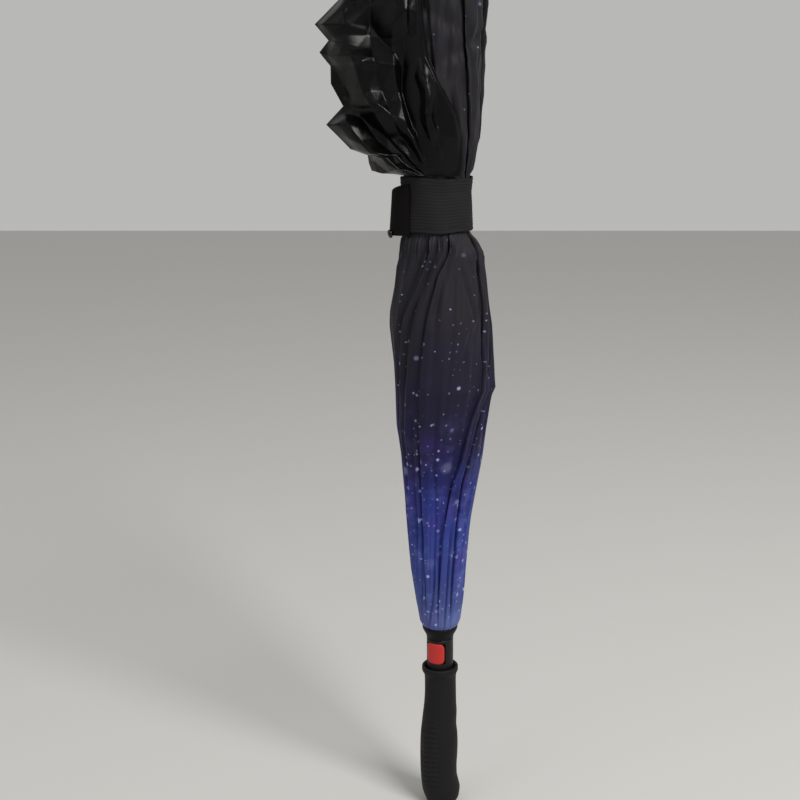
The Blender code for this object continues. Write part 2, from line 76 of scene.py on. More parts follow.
CLOTH_T = 0.00025

# ------------------------------------------------------------------ the frame's joints
JOINTS = {j["name"]: j for j in frame["joints"]}
RATIOS = {c["joint"]: c["ratio"] for c in frame["record"]["behaviour"]["couplings"]}
TRAVEL = JOINTS["runner_slide"]["range_m"][1]


def turn_matrix(point, axis, angle):
    """4x4 matrix of a turn by radians about a line."""
    n = np.array(axis, float)
    n = n / np.linalg.norm(n)
    k = np.array([[0, -n[2], n[1]], [n[2], 0, -n[0]], [-n[1], n[0], 0]])
    r = np.eye(3) + math.sin(angle) * k + (1 - math.cos(angle)) * (k @ k)
    m = np.eye(4)
    m[:3, :3] = r
    p = np.array(point, float)
    m[:3, 3] = p - r @ p
    return m


def open_turn(joint, share=1.0):
    j = JOINTS[joint]
    return turn_matrix(j["pos_m"], j["axis"], RATIOS[joint] * TRAVEL * share)


def lift_matrix():
    m = np.eye(4)
    m[2, 3] = TRAVEL
    return m


def rib_open(i):
    return lift_matrix() @ open_turn(f"rib_{i + 1}_hinge")


def stretcher_open(i):
    return open_turn(f"stretcher_{i + 1}_hinge")


RIB_TURN = RATIOS["rib_1_hinge"] * TRAVEL
RIB_LEAN = OPEN_ARM - RIB_TURN
STRETCHER_TURN = RATIOS["stretcher_1_hinge"] * TRAVEL
STRETCHER_LEAN = math.asin(RIB_JOINT * math.sin(RIB_LEAN) / STRETCHER)


def rib_radius(z):
    return PIVOT_R + (z - RUNNER_Z) * math.tan(RIB_LEAN)


def stretcher_radius(z):
    return PIVOT_R + (NOTCH_Z - z) * math.tan(STRETCHER_LEAN)


# ------------------------------------------------------------------ materials
def new_material(name, colour, rough, metal=0.0, gloss=0.5):
    made = bpy.data.materials.new(name)
    made.use_nodes = True
    tree = made.node_tree
    shader = tree.nodes["Principled BSDF"]
    shader.inputs["Base Color"].default_value = (*colour, 1.0)
    shader.inputs["Roughness"].default_value = rough
    shader.inputs["Metallic"].default_value = metal
    shader.inputs["Specular IOR Level"].default_value = gloss
    return made, tree, shader


def noise_node(tree, coordinate, scale, detail, rough=0.6):
    made = tree.nodes.new("ShaderNodeTexNoise")
    for name, value in (("Scale", scale), ("Detail", detail), ("Roughness", rough)):
        made.inputs[name].default_value = value
    tree.links.new(coordinate, made.inputs["Vector"])
    return made.outputs["Fac"]


def math_node(tree, operation, a, b=None, c=None, clamp=False):
    made = tree.nodes.new("ShaderNodeMath")
    made.operation = operation
    made.use_clamp = clamp
    for slot, value in enumerate((a, b, c)):
        if value is None:
            continue
        if isinstance(value, (int, float)):
            made.inputs[slot].default_value = value
        else:
            tree.links.new(value, made.inputs[slot])
    return made.outputs[0]


def times(tree, a, b):
    return math_node(tree, "MULTIPLY", a, b)


THREAD_PITCH = 0.00045       # of the cloth's weave
WEBBING_PITCH = 0.0022       # of the strap's cross ribs


def srgb(r, g, b):
    """Linear colour from 0-255 screen values."""
    def one(c):
        c = c / 255.0
        return c / 12.92 if c <= 0.04045 else ((c + 0.055) / 1.055) ** 2.4
    return (one(r), one(g), one(b))


def add_bump(tree, shader, height, strength, distance):
    bump = tree.nodes.new("ShaderNodeBump")
    bump.inputs["Strength"].default_value = strength
    bump.inputs["Distance"].default_value = distance
    tree.links.new(height, bump.inputs["Height"])
    tree.links.new(bump.outputs["Normal"], shader.inputs["Normal"])


def weave_bump(tree, shader, coordinate, strength, distance, extra=None):
    """Over-and-under threads, with an optional second height."""
    parts = []
    for direction in ("X", "Y"):
        wave = tree.nodes.new("ShaderNodeTexWave")
        wave.wave_type = "BANDS"
        wave.bands_direction = direction
        wave.inputs["Scale"].default_value = math.pi / 10.0 / THREAD_PITCH
        tree.links.new(coordinate, wave.inputs["Vector"])
        parts.append(wave.outputs["Fac"])
    height = times(tree, parts[0], parts[1])
    if extra is not None:
        height = math_node(tree, "ADD", height, extra)
    add_bump(tree, shader, height, strength, distance)


def uv_vector(tree, layer="flat"):
    uv = tree.nodes.new("ShaderNodeUVMap")
    uv.uv_map = layer
    return uv.outputs["UV"]


def map_range(tree, value, low, high, to_low, to_high, kind="LINEAR"):
    made = tree.nodes.new("ShaderNodeMapRange")
    made.interpolation_type = kind
    for name, number in (("From Min", low), ("From Max", high), ("To Min", to_low), ("To Max", to_high)):
        made.inputs[name].default_value = number
    tree.links.new(value, made.inputs["Value"])
    return made.outputs[0]


def star_layer(tree, coordinate, scale, size, keep, soft, crowd):
    """Pale dots of one size, scattered one to a cell; keep times crowd is the share of cells
    with a dot."""
    cells = tree.nodes.new("ShaderNodeTexVoronoi")
    cells.feature = "F1"
    cells.voronoi_dimensions = "2D"
    cells.inputs["Scale"].default_value = scale
    cells.inputs["Randomness"].default_value = 1.0
    tree.links.new(coordinate, cells.inputs["Vector"])
    split = tree.nodes.new("ShaderNodeSeparateColor")
    tree.links.new(cells.outputs["Color"], split.inputs[0])
    chosen = math_node(tree, "LESS_THAN", split.outputs[0], times(tree, crowd, keep))
    grow = math_node(tree, "MULTIPLY_ADD", split.outputs[1], 0.75, 0.35)
    near = math_node(tree, "DIVIDE", cells.outputs["Distance"], grow)
    fade = map_range(tree, near, size * scale, size * scale * soft, 1.0, 0.0, "SMOOTHSTEP")
    bright = math_node(tree, "MULTIPLY_ADD", split.outputs[2], 0.7, 0.3)
    return times(tree, times(tree, fade, chosen), bright)


def mix_colour(tree, factor, under, over):
    """Mixes towards the constant colour over."""
    made = tree.nodes.new("ShaderNodeMix")
    made.data_type = "RGBA"
    tree.links.new(factor, made.inputs["Factor"])
    tree.links.new(under, made.inputs["A"])
    made.inputs["B"].default_value = (*over, 1.0)
    return made.outputs["Result"]


def hem_height(tree):
    """Height of the turned hem and of two rows of lockstitch, beside the hem and the side seams."""
    split = tree.nodes.new("ShaderNodeSeparateXYZ")
    tree.links.new(uv_vector(tree, "seam"), split.inputs[0])
    fold = map_range(tree, split.outputs["Y"], 0.0075, 0.0068, 0.0, 2.5)
    rows = fold
    for across, along, place in (("Y", "X", 0.0058), ("X", "Y", 0.0026)):
        off = math_node(tree, "ABSOLUTE", math_node(tree, "SUBTRACT", split.outputs[across], place))
        line = map_range(tree, off, 0.00045, 0.0001, 0.0, 2.0)
        beat = math_node(tree, "SINE", times(tree, split.outputs[along], 2800.0))
        dash = map_range(tree, beat, -0.3, 0.2, -0.5, 1.0)
        rows = math_node(tree, "ADD", rows, times(tree, line, dash))
    return rows


# print colour against distance from the hub, metres
PRINT = (
    (0.000, (84, 96, 150)), (0.012, (62, 75, 134)), (0.034, (54, 67, 132)), (0.064, (45, 59, 132)),
    (0.096, (35, 46, 118)), (0.118, (30, 34, 94)), (0.134, (25, 24, 70)), (0.163, (26, 23, 50)),
    (0.200, (28, 25, 42)), (0.240, (30, 28, 38)), (0.300, (32, 30, 36)), (0.620, (27, 26, 29)),
)


def printed_fabric():
    """Night-sky print: blue at the hub to black at the rim, with clouds and soft stars."""
    made, tree, shader = new_material("printed_fabric", (0.02, 0.02, 0.03), 0.6, gloss=0.16)
    uv = uv_vector(tree)
    split = tree.nodes.new("ShaderNodeSeparateXYZ")
    tree.links.new(uv, split.inputs[0])
    shift = math_node(tree, "MULTIPLY_ADD", noise_node(tree, uv, 17.0, 5.0), 0.12, -0.06)
    near_hub = map_range(tree, split.outputs["Y"], 0.0, 0.06, 0.0, 1.0)
    along = math_node(tree, "ADD", split.outputs["Y"], times(tree, shift, near_hub))
    share = math_node(tree, "DIVIDE", along, PRINT[-1][0], clamp=True)
    ramp = tree.nodes.new("ShaderNodeValToRGB")
    tree.links.new(share, ramp.inputs["Fac"])
    stops = ramp.color_ramp.elements
    stops[0].position, stops[0].color = 0.0, (*srgb(*PRINT[0][1]), 1.0)
    stops[1].position, stops[1].color = 1.0, (*srgb(*PRINT[-1][1]), 1.0)
    for place, colour in PRINT[1:-1]:
        stop = stops.new(place / PRINT[-1][0])
        stop.color = (*srgb(*colour), 1.0)
    # lighter and more violet wisps in the blue part
    wisp = noise_node(tree, uv, 62.0, 6.0, 0.65)
    wisps = times(tree, map_range(tree, wisp, 0.50, 0.75, 0.0, 0.5),
                  map_range(tree, along, 0.19, 0.05, 0.0, 1.0))
    violet = noise_node(tree, uv, 24.0, 3.0, 0.5)
    violets = times(tree, map_range(tree, violet, 0.52, 0.7, 0.0, 0.4),
                    map_range(tree, along, 0.24, 0.10, 0.0, 1.0))
    colour = mix_colour(tree, wisps, ramp.outputs["Color"], srgb(104, 116, 190))
    colour = mix_colour(tree, violets, colour, srgb(66, 46, 128))
    # stars: crowded and soft in the blue, few and faint towards the rim
    crowd = map_range(tree, split.outputs["Y"], 0.26, 0.09, 0.35, 1.0)
    rim = map_range(tree, split.outputs["Y"], 0.42, 0.28, 0.22, 1.0)
    crowd = times(tree, crowd, rim)
    bright = map_range(tree, split.outputs["Y"], 0.30, 0.12, 0.42, 0.78)
    small = star_layer(tree, uv, 190.0, 0.00040, 0.34, 2.8, crowd)
    medium = star_layer(tree, uv, 98.0, 0.00062, 0.42, 3.2, crowd)
    large = star_layer(tree, uv, 58.0, 0.00085, 0.40, 3.4, crowd)
    haze = star_layer(tree, uv, 37.0, 0.00150, 0.40, 4.2, crowd)
    total = math_node(tree, "ADD", times(tree, small, 0.5), times(tree, medium, 0.9))
    total = math_node(tree, "ADD", total, times(tree, haze, 0.32))
    total = math_node(tree, "ADD", total, large, clamp=True)
    stars = times(tree, total, bright)
    colour = mix_colour(tree, stars, colour, srgb(178, 186, 240))
    tree.links.new(colour, shader.inputs["Base Color"])
    shader.inputs["Sheen Weight"].default_value = 0.05
    shader.inputs["Sheen Roughness"].default_value = 0.45
    weave_bump(tree, shader, uv, 0.25, 0.00012, hem_height(tree))
    return made


def black_fabric(name, colour, rough, gloss, hemmed=True, slub=0.0):
    """Plain weave with uneven gloss; slub adds the cross ribs of webbing."""
    made, tree, shader = new_material(name, srgb(*colour), rough, gloss=gloss)
    uv = uv_vector(tree)
    noise = noise_node(tree, uv, 60.0, 4.0)
    tree.links.new(map_range(tree, noise, 0.2, 0.8, rough - 0.08, rough + 0.12),
                   shader.inputs["Roughness"])
    worn = mix_colour(tree, map_range(tree, noise, 0.5, 0.8, 0.0, 0.5),
                      colour_of(tree, colour), srgb(*[c + 6 for c in colour]))
    tree.links.new(worn, shader.inputs["Base Color"])
    extra = hem_height(tree) if hemmed else None
    if slub:
        rib = tree.nodes.new("ShaderNodeTexWave")
        rib.bands_direction = "Y"
        rib.inputs["Scale"].default_value = math.pi / 10.0 / slub
        rib.inputs["Distortion"].default_value = 0.6
        tree.links.new(uv, rib.inputs["Vector"])
        extra = times(tree, rib.outputs["Fac"], 1.6)
    weave_bump(tree, shader, uv, 0.22, 0.0001, extra)
    return made


def colour_of(tree, colour):
    made = tree.nodes.new("ShaderNodeRGB")
    made.outputs[0].default_value = (*srgb(*colour), 1.0)
    return made.outputs[0]


def grained(name, colour, rough, scale, strength, distance, spread=0.08, metal=0.0, gloss=0.25):
    """Moulded or painted surface: fine grain in the height and small changes of roughness."""
    made, tree, shader = new_material(name, colour, rough, metal, gloss)
    at = tree.nodes.new("ShaderNodeTexCoord").outputs["Object"]
    wear = noise_node(tree, at, 90.0, 5.0)
    worn = map_range(tree, wear, 0.3, 0.7, rough - spread, rough + spread)
    tree.links.new(worn, shader.inputs["Roughness"])
    add_bump(tree, shader, noise_node(tree, at, scale, 4.0), strength, distance)
    return made


PRINTED = printed_fabric()
BLACK = black_fabric("black_fabric", (20, 19, 21), 0.5, 0.16)
LINING = black_fabric("black_lining", (5, 5, 6), 0.2, 0.15)
WEBBING = black_fabric("strap_webbing", (32, 31, 33), 0.75, 0.10, hemmed=False, slub=WEBBING_PITCH)
# darker copy of the strap webbing for its free end, which faces away from the key light: painted shade
SHADED_WEBBING = black_fabric("strap_webbing_painted_shade", (15, 13, 13), 0.8, 0.08, hemmed=False, slub=WEBBING_PITCH)
THREAD = grained("black_thread", srgb(44, 42, 43), 0.6, 4000.0, 0.4, 0.0001)
STUD = grained("stud_metal", srgb(54, 54, 58), 0.25, 1200.0, 0.05, 0.0001, 0.05, 1.0)
RUBBER = grained("grip_rubber", srgb(24, 23, 24), 0.62, 1400.0, 0.35, 0.0002, gloss=0.16)
PLASTIC = grained("black_plastic", srgb(20, 19, 20), 0.42, 1800.0, 0.15, 0.0001, gloss=0.2)
COLLAR = grained("collar_plastic", srgb(11, 10, 11), 0.5, 1800.0, 0.15, 0.0001, gloss=0.14)
RED = grained("red_plastic", srgb(180, 38, 33), 0.38, 1500.0, 0.08, 0.0001, 0.05, gloss=0.4)
STEEL = grained("steel", srgb(120, 120, 122), 0.32, 900.0, 0.1, 0.0001, 0.06, 1.0)
BLACK_STEEL = grained("black_steel", srgb(52, 52, 55), 0.35, 900.0, 0.1, 0.0001, 0.06, 1.0)
RESIN = grained("fibreglass", srgb(26, 26, 28), 0.4, 1200.0, 0.15, 0.0001)


# ------------------------------------------------------------------ meshes
def add_object(name, data):
    made = bpy.data.objects.new(name, data)
    bpy.context.scene.collection.objects.link(made)
    return made


def grid_object(name, points, materials, flat=None, seam=None, thickness=None, close_u=False, back=0):
    """A mesh from a rows x columns array of points. flat is each point's place on the cut cloth
    and seam its distance from the side seam and from the hem, both in metres."""
    rows, columns = points.shape[:2]
    mesh = bpy.data.meshes.new(name)
    index = np.arange(rows * columns).reshape(rows, columns)
    if close_u:
        nxt = np.roll(index, -1, axis=1)
    else:
        nxt = index[:, 1:]
        index = index[:, :-1]
    quads = np.stack([index[:-1], nxt[:-1], nxt[1:], index[1:]], axis=-1).reshape(-1, 4)
    mesh.from_pydata(points.reshape(-1, 3).tolist(), [], quads.tolist())
    for m in materials:
        mesh.materials.append(m)
    loops = np.empty(len(mesh.loops), np.int64)
    mesh.loops.foreach_get("vertex_index", loops)
    for layer_name, values in (("flat", flat), ("seam", seam)):
        if values is not None:
            layer = mesh.uv_layers.new(name=layer_name)
            layer.data.foreach_set("uv", values.reshape(-1, 2)[loops].astype(np.float32).ravel())
    edges = np.empty(len(mesh.loops), np.int64)
    mesh.loops.foreach_get("edge_index", edges)
    uses = np.bincount(edges, minlength=len(mesh.edges))
    mesh.edges.foreach_set("use_edge_sharp", (uses == 1).tolist())
    return finish_mesh(name, mesh, thickness, back)


def finish_mesh(name, mesh, thickness=None, back=0):
    mesh.polygons.foreach_set("use_smooth", [True] * len(mesh.polygons))
    mesh.update()
    made = add_object(name, mesh)
    if thickness:
        solid = made.modifiers.new("Cloth", "SOLIDIFY")
        solid.thickness = thickness
        solid.offset = 0.0
        solid.use_rim = True
        solid.material_offset = back
        solid.material_offset_rim = 0
    return made


def closed_loft(name, loops, material):
    """Skins a rows x columns array of closed loops and caps both ends."""
    rows, columns = loops.shape[:2]
    index = np.arange(rows * columns).reshape(rows, columns)
    nxt = np.roll(index, -1, axis=1)
    faces = np.stack([index[:-1], nxt[:-1], nxt[1:], index[1:]], axis=-1).reshape(-1, 4).tolist()
    faces.append(index[0][::-1].tolist())
    faces.append(index[-1].tolist())
    mesh = bpy.data.meshes.new(name)
    mesh.from_pydata(loops.reshape(-1, 3).tolist(), [], faces)
    mesh.materials.append(material)
    return finish_mesh(name, mesh)


def smooth(t):
    t = np.clip(t, 0.0, 1.0)
    return t * t * (3.0 - 2.0 * t)


def fold_wave(x):
    """Straight-sided wave of period 1 between -1 and 1."""
    return 4.0 * np.abs(x - np.floor(x) - 0.5) - 1.0


def stacked(*parts):
    """Broadcasts coordinates against each other and puts them side by side."""
    return np.stack(np.broadcast_arrays(*parts), axis=-1)


def polar(radius, azimuth, z):
    turn = np.radians(azimuth)
    return stacked(radius * np.cos(turn), radius * np.sin(turn), z)


# ------------------------------------------------------------------ the wrapped bundle
# (height, left radius, right radius) of the bundle, millimetres
BUNDLE = np.array((
    (161.5, 15.2, 15.2), (166.0, 16.8, 16.6), (210.0, 22.4, 19.5), (258.0, 26.0, 25.2),
    (306.0, 29.8, 33.0), (330.0, 33.2, 35.8), (351.0, 33.4, 38.2), (357.0, 33.5, 39.2),
    (364.0, 33.7, 41.9), (372.0, 34.0, 40.9), (381.0, 34.4, 40.3), (392.0, 35.4, 39.5),
    (412.0, 37.4, 38.8), (422.0, 37.0, 37.8), (432.0, 35.6, 36.5), (451.0, 32.8, 33.8),
    (468.0, 30.0, 32.6), (480.0, 28.4, 26.0), (484.5, 27.4, 22.9), (504.0, 27.2, 22.2),
    (515.0, 27.2, 21.4), (528.0, 28.0, 23.0), (556.0, 31.5, 28.6), (600.0, 33.0, 31.0),
    (640.0, 34.5, 33.5), (690.0, 35.0, 35.0), (730.0, 33.0, 34.0), (790.0, 29.5, 30.5),
))

# where the folds between the gores run: a height, then how far each of the 8 has swung round
# from its own rib, degrees
VALLEYS = np.array((
    (161.5, -20., -20., -15., -5., 2.0, -15., -28., -36.),
    (200.0, -16., -16., -10., 0.0, 2.5, -8.0, -22., -35.),
    (252.0, -12., -10., -4.0, 2.0, 2.5, -7.5, -15., -33.),
    (293.0, -6.0, -4.0, 2.0, 4.0, 2.5, -6.0, -2.0, -30.),
    (313.0, 0.0, 0.0, 4.0, 6.0, 2.5, -5.0, 8.0, -22.),
    (335.0, 6.0, 6.0, 8.0, 8.0, 3.0, -4.5, 15.0, -14.),
    (370.0, 14.0, 14.0, 14.0, 12.0, 6.0, -1.5, 31.0, 2.0),
    (394.0, 22.0, 20.0, 18.0, 15.0, 12.0, 1.5, 38.0, 14.0),
    (432.0, 32.0, 30.0, 28.0, 25.0, 24.0, 9.5, 42.0, 24.0),
    (463.0, 38.0, 37.0, 36.0, 36.0, 44.0, 21.0, 45.0, 34.0),
    (482.0, 42.0, 42.0, 42.0, 44.0, 54.0, 38.0, 48.0, 40.0),
    (526.0, 42.0, 42.0, 42.0, 42.0, 46.0, 42.0, 42.0, 40.0),
    (600.0, 20.0, 20.0, 20.0, 20.0, 20.0, 20.0, 20.0, 20.0),
    (700.0, 5.0, 5.0, 5.0, 5.0, 5.0, 5.0, 5.0, 5.0),
    (800.0, 0.0, 0.0, 0.0, 0.0, 0.0, 0.0, 0.0, 0.0),
))

# sharp creases inside a gore: depth and width in millimetres, then (height, azimuth) points
CREASES = (
    (2.4, 1.8, ((488, 296), (482, 294), (467, 280), (449, 273), (436, 268), (420, 262))),
    (3.4, 2.3, ((488, 274), (470, 262), (449, 248), (431, 238), (417, 231), (396, 224), (366, 217))),
    (2.6, 2.0, ((488, 250), (464, 240), (440, 226), (417, 216), (398, 211))),
    (2.2, 1.5, ((458, 300), (445, 305), (433, 311), (422, 316))),
    (2.2, 1.6, ((430, 322), (418, 316), (409, 307), (396, 301), (380, 297))),
    (2.8, 2.2, ((344, 229), (320, 226), (297, 224), (262, 223), (236, 222))),
    (1.8, 1.5, ((252, 237), (223, 232), (197, 226), (176, 216))),
    (2.0, 1.4, ((208, 258), (190, 252), (178, 246), (163, 234))),
    (1.6, 1.3, ((300, 262), (262, 262), (228, 258), (204, 256))),
    (1.8, 1.5, ((250, 290), (222, 287), (190, 285), (163, 281))),
    (2.6, 2.0, ((520, 262), (536, 258), (553, 250), (584, 232), (612, 222))),
    (2.4, 1.8, ((520, 300), (535, 305), (553, 303), (567, 292), (590, 284))),
    (2.2, 4.0, ((600, 256), (609, 268), (617, 292), (627, 326), (636, 350))),
    (1.8, 4.0, ((618, 340), (628, 310), (640, 268), (651, 240), (662, 226))),
    (2.4, 2.0, ((520, 330), (560, 322), (600, 318), (650, 300), (700, 296))),
    (2.4, 1.6, ((486, 350), (460, 336), (432, 330), (400, 333), (372, 338))),
    (2.6, 1.8, ((486, 22), (452, 2), (420, 350), (380, 345), (330, 338))),
    (2.6, 1.8, ((486, 66), (450, 44), (410, 30), (360, 20), (300, 8))),
    (2.2, 1.6, ((470, 84), (430, 62), (392, 50), (350, 44))),
    (2.6, 1.8, ((486, 112), (450, 92), (410, 76), (350, 66), (280, 60))),
    (2.2, 1.6, ((468, 132), (440, 118), (400, 104), (360, 98))),
    (2.6, 1.8, ((486, 160), (450, 140), (410, 126), (350, 118), (290, 112))),
    (2.4, 1.8, ((486, 205), (455, 186), (420, 172), (370, 162), (310, 158))),
    (2.0, 1.6, ((300, 20), (250, 12), (200, 2), (166, 354))),
    (2.0, 1.6, ((280, 76), (230, 66), (190, 58), (166, 52))),
    (2.0, 1.6, ((290, 128), (240, 120), (200, 114), (166, 110))),
    (2.0, 1.6, ((270, 190), (230, 186), (196, 184), (166, 182))),
    (2.6, 2.0, ((522, 20), (560, 12), (610, 8), (660, 12), (720, 10))),
    (2.6, 2.0, ((522, 60), (560, 66), (620, 78), (680, 76), (730, 80))),
    (2.6, 2.0, ((522, 110), (570, 116), (630, 128), (690, 122), (740, 124))),
    (2.4, 2.0, ((522, 150), (560, 160), (620, 168), (690, 166), (740, 170))),
    (2.4, 2.0, ((640, 206), (680, 212), (710, 214), (750, 214))),
    (2.4, 2.0, ((650, 262), (690, 256), (720, 254), (756, 258))),
)
STRAP_LOW, STRAP_HIGH = 0.4855, 0.526
CREASE_LIMIT = 0.0041
TYPICAL_RADIUS = 34.0        # of the bundle, millimetres; a crease's width is taken at it


def bundle_radius(azimuth, z):
    """Radius in metres at azimuth in degrees and height in metres."""
    left = np.interp(z * 1000.0, BUNDLE[:, 0], BUNDLE[:, 1])
    right = np.interp(z * 1000.0, BUNDLE[:, 0], BUNDLE[:, 2])
    share = (1.0 + np.cos(np.radians(azimuth))) / 2.0
    return (left + (right - left) * share) / 1000.0


def valley(boundary, z):
    return np.interp(z * 1000.0, VALLEYS[:, 0], VALLEYS[:, 1 + boundary % GORES])


def under_strap(z):
    """1 where the strap presses the folds flat, fading to 0 a little way off it."""
    return smooth((z - STRAP_LOW + 0.007) / 0.007) * smooth((STRAP_HIGH + 0.007 - z) / 0.007)


def crease_depth(azimuth, z):
    """How far the creases pull the surface in, metres; their lips stand slightly proud."""
    total = np.zeros(np.broadcast(azimuth, z).shape)
    for depth, width, line in CREASES:
        line = sorted(line)
        heights = [p[0] / 1000.0 for p in line]
        turns = np.degrees(np.unwrap(np.radians([p[1] for p in line])))
        ends = smooth((z - heights[0] + 0.012) / 0.024) * smooth((heights[-1] + 0.012 - z) / 0.024)
        off = (azimuth - np.interp(z, heights, turns) + 180.0) % 360.0 - 180.0
        run = np.interp(z + 0.001, heights, turns) - np.interp(z - 0.001, heights, turns)
        off = np.radians(off) * TYPICAL_RADIUS / np.hypot(1.0, np.radians(run) * TYPICAL_RADIUS / 2.0)
        cut = np.exp(-(np.sqrt(off ** 2 + 0.25) - 0.5) / width)
        lips = np.exp(-((np.abs(off) - 2.6 * width) / width) ** 2)
        total += ends * depth * (cut - 0.30 * lips)
    return total / 1000.0


def ripples(azimuth, z):
    """Small lengthwise creases, and the gathers at the strap, metres."""
    a = np.radians(azimuth)
    twist = (z - 0.2) * 1.4
    fine = 0.30 * np.sin(23.0 * (a - twist) + 1.7 + 9.0 * z)
    fine += 0.22 * np.sin(37.0 * (a - twist * 1.2) + 0.4 - 21.0 * z)
    fine += 0.35 * np.sin(14.0 * (a - twist * 0.8) + 2.9 + 26.0 * z)
    slack = 0.5 * fold_wave(2.1 * a + 31.0 * z) * fold_wave(1.3 * a - 17.0 * z + 0.2)
    slack *= smooth((z - 0.53) / 0.05)
    grow = smooth((z - 0.165) / 0.05)
    tied = np.exp(-((z - 0.474) / 0.016) ** 2) + np.exp(-((z - 0.534) / 0.016) ** 2)
    gathers = 0.8 * fold_wave(8.0 * a + 0.6 * np.sin(3.0 * a)) + 0.5 * fold_wave(13.0 * a + 0.3)
    return (fine * (0.35 + 0.65 * grow) + 1.6 * slack + gathers * tied) / 1000.0


def bundle_surface(azimuth, z, over):
    """The outside of the bundle. over runs from 0 to 1 across a gore: its near edge lies on its
    neighbour and its far edge tucks in."""
    lap = 1.5 * (1.0 - smooth(over / 0.35)) - 2.3 * smooth((over - 0.55) / 0.45)
    puff = 0.9 * np.sin(np.pi * np.minimum(1.0, over * 1.05)) ** 0.8
    rise = (lap + puff) / 1000.0 * smooth((z - 0.150) / 0.06)
    rise = rise + ripples(azimuth, z) - crease_depth(azimuth, z)
    rise = np.maximum(rise, -CREASE_LIMIT)
    press = under_strap(z)
    return bundle_radius(azimuth, z) + rise * (1.0 - 0.85 * press) - 0.0006 * press


# ------------------------------------------------------------------ gores
OPEN_STRETCHER = STRETCHER_LEAN + STRETCHER_TURN
CHORD = 2.0 * math.sin(math.radians(STEP / 2))
CROWN_REACH = 0.198          # the crown ends here, clear of the print when the umbrella is open
CLEAR_OF_HUB = 0.0128


def gore_width(s):
    """Flat width of a gore at a distance along the rib."""
    return CHORD * (PIVOT_R + s * math.sin(OPEN_ARM))


def crown_width(s):
    return CHORD * (PIVOT_R + s * math.sin(OPEN_STRETCHER))


def print_inner(z):
    return np.maximum(CLEAR_OF_HUB, rib_radius(z) + 0.0021)


def under_creases(azimuth, z):
    """A little deeper than any crease reaches; hidden cloth stays below it."""
    return bundle_radius(azimuth, z) - CREASE_LIMIT - 0.0003


def lining_outer(azimuth, z, over):
    return under_creases(azimuth, z)


def crown_inner(z):
    return np.maximum(CLEAR_OF_HUB, stretcher_radius(z) + 0.0022)


def crown_outer(azimuth, z, over):
    return np.maximum(rib_radius(z) - 0.0026, crown_inner(z) + 0.0004)


def solve_weights(points, target, base, near, joint):
    """The blend weight that brings each point to its azimuth when the umbrella is open."""
    flat = points.reshape(-1, 3)
    ones = np.concatenate([flat, np.ones((len(flat), 1))], axis=1)
    samples = np.linspace(0.0, 1.0, 33)
    found = []
    for w in samples:
        moved = ones @ (near @ open_turn(joint, w)).T
        azimuth = np.degrees(np.arctan2(moved[:, 1], moved[:, 0])) - base
        found.append((azimuth + 180.0) % 360.0 - 180.0)
    found = np.maximum.accumulate(np.array(found), axis=0)
    goal = target.reshape(-1)
    weights = np.zeros(len(flat))
    for k in range(len(samples) - 1):
        low, high = found[k], found[k + 1]
        inside = (goal >= low) & (goal < high)
        part = (goal - low) / np.maximum(high - low, 1e-9)
        weights = np.where(inside, samples[k] + part * (samples[k + 1] - samples[k]), weights)
    return np.where(goal >= found[-1], 1.0, weights).reshape(target.shape)


def cloth_blend(made, a, b, weights):
    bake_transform(made, a, b, start=(0.0, 0.0, 0.0), end=(0.0, 0.0, 1.0))
    layer = made.data.attributes["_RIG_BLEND"]
    layer.data.foreach_set("value", np.asarray(weights, np.float32).ravel())


